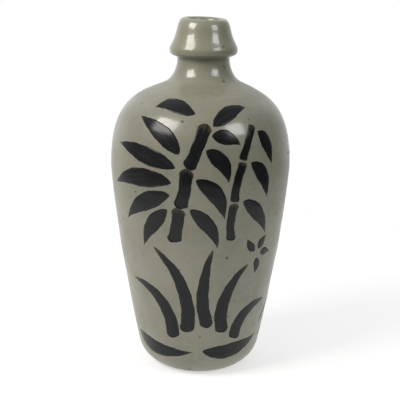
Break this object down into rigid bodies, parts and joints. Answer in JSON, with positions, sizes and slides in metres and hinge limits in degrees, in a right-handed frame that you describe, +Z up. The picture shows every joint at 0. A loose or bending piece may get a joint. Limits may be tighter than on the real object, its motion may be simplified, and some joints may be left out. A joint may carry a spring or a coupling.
{
  "type": "sake bottle",
  "caption": "Tall stoneware sake bottle with a domed shoulder, a narrow neck, a flared mouth collar, clear grey-green glaze and iron-black brush painting.",
  "frame": {"origin": "centre of the foot, at the level the bottle stands on", "axes": "+Z up along the body axis to the mouth, -Y to the front, where the bamboo is painted, +X to the right seen from the front"},
  "size_m": [0.1365, 0.1369, 0.267],
  "materials": {
    "clay": "fired stoneware, unglazed, fine grit",
    "outer_glaze": "clear grey-green glaze, glossy on the neck and satin on the body",
    "inner_glaze": "thin clear glaze, satin",
    "iron_paint": "iron-black pigment fused in the glaze, satin to glossy"
  },
  "bodies": {
    "root": {"lower_body": "clay", "upper_body": "clay", "neck": "clay", "mouth_collar": "clay", "outer_glaze": "outer_glaze", "inner_glaze": "inner_glaze", "brush_bamboo": "iron_paint", "brush_orchid": "iron_paint", "brush_reeds": "iron_paint", "brush_pebbles": "iron_paint"}
  },
  "joints": []
}
